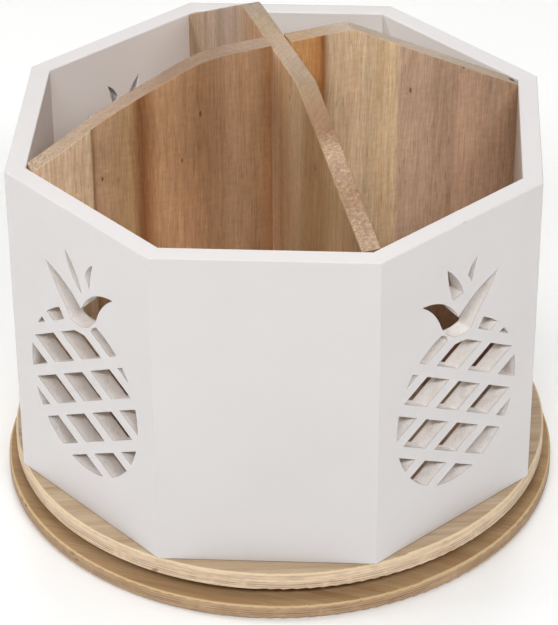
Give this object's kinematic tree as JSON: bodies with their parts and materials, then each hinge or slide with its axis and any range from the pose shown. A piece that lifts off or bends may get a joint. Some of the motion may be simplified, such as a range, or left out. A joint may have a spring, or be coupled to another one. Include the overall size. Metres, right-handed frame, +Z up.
{
  "type": "lazy susan organizer",
  "caption": "Eight-sided wooden desk caddy with pineapple cut-outs and crossed wooden dividers, turning on a ball bearing above a round base.",
  "frame": {"origin": "on the table under the turning axis, at the middle of the underside of the feet", "axes": "+Z up along the turning axis, -Y towards the plain front panel, +X to the right of it"},
  "size_m": [0.261, 0.261, 0.2245],
  "materials": {
    "white_paint": "satin white paint on board",
    "divider_wood": "waxed, edge-glued staves",
    "disc_wood": "bare pale wood, light wax",
    "bearing_steel": "zinc plated",
    "ball_steel": "polished",
    "screw_steel": "zinc plated",
    "cage_plastic": "natural nylon",
    "foot_rubber": "matte"
  },
  "bodies": {
    "base": {"base_disc": "disc_wood", "bearing_lower_plate": "bearing_steel", "lower_plate_screws": "screw_steel", "centre_rivet": "bearing_steel", "foot_back_right": "foot_rubber", "foot_back_left": "foot_rubber", "foot_front_left": "foot_rubber", "foot_front_right": "foot_rubber"},
    "ball_ring": {"ball_cage": "cage_plastic", "bearing_balls": "ball_steel"},
    "turntable": {"turntable_disc": "disc_wood", "bearing_upper_plate": "bearing_steel", "upper_plate_screws": "screw_steel", "panel_screws": "screw_steel", "divider_screws": "screw_steel", "divider_left_right": "divider_wood", "divider_front_back": "divider_wood", "panel_front": "white_paint", "panel_front_right": "white_paint", "panel_right": "white_paint", "panel_back_right": "white_paint", "panel_back": "white_paint", "panel_back_left": "white_paint", "panel_left": "white_paint", "panel_front_left": "white_paint"}
  },
  "joints": [
    {"name": "turntable_spin", "type": "hinge", "parent": "base", "child": "turntable", "pos_m": [0, 0, 0.0115], "axis": [0, 0, 1], "continuous": true},
    {"name": "ball_ring_spin", "type": "hinge", "parent": "base", "child": "ball_ring", "pos_m": [0, 0, 0.0115], "axis": [0, 0, 1], "continuous": true}
  ],
  "couplings": [
    {"joint": "ball_ring_spin", "follows": "turntable_spin", "ratio": 0.5}
  ]
}
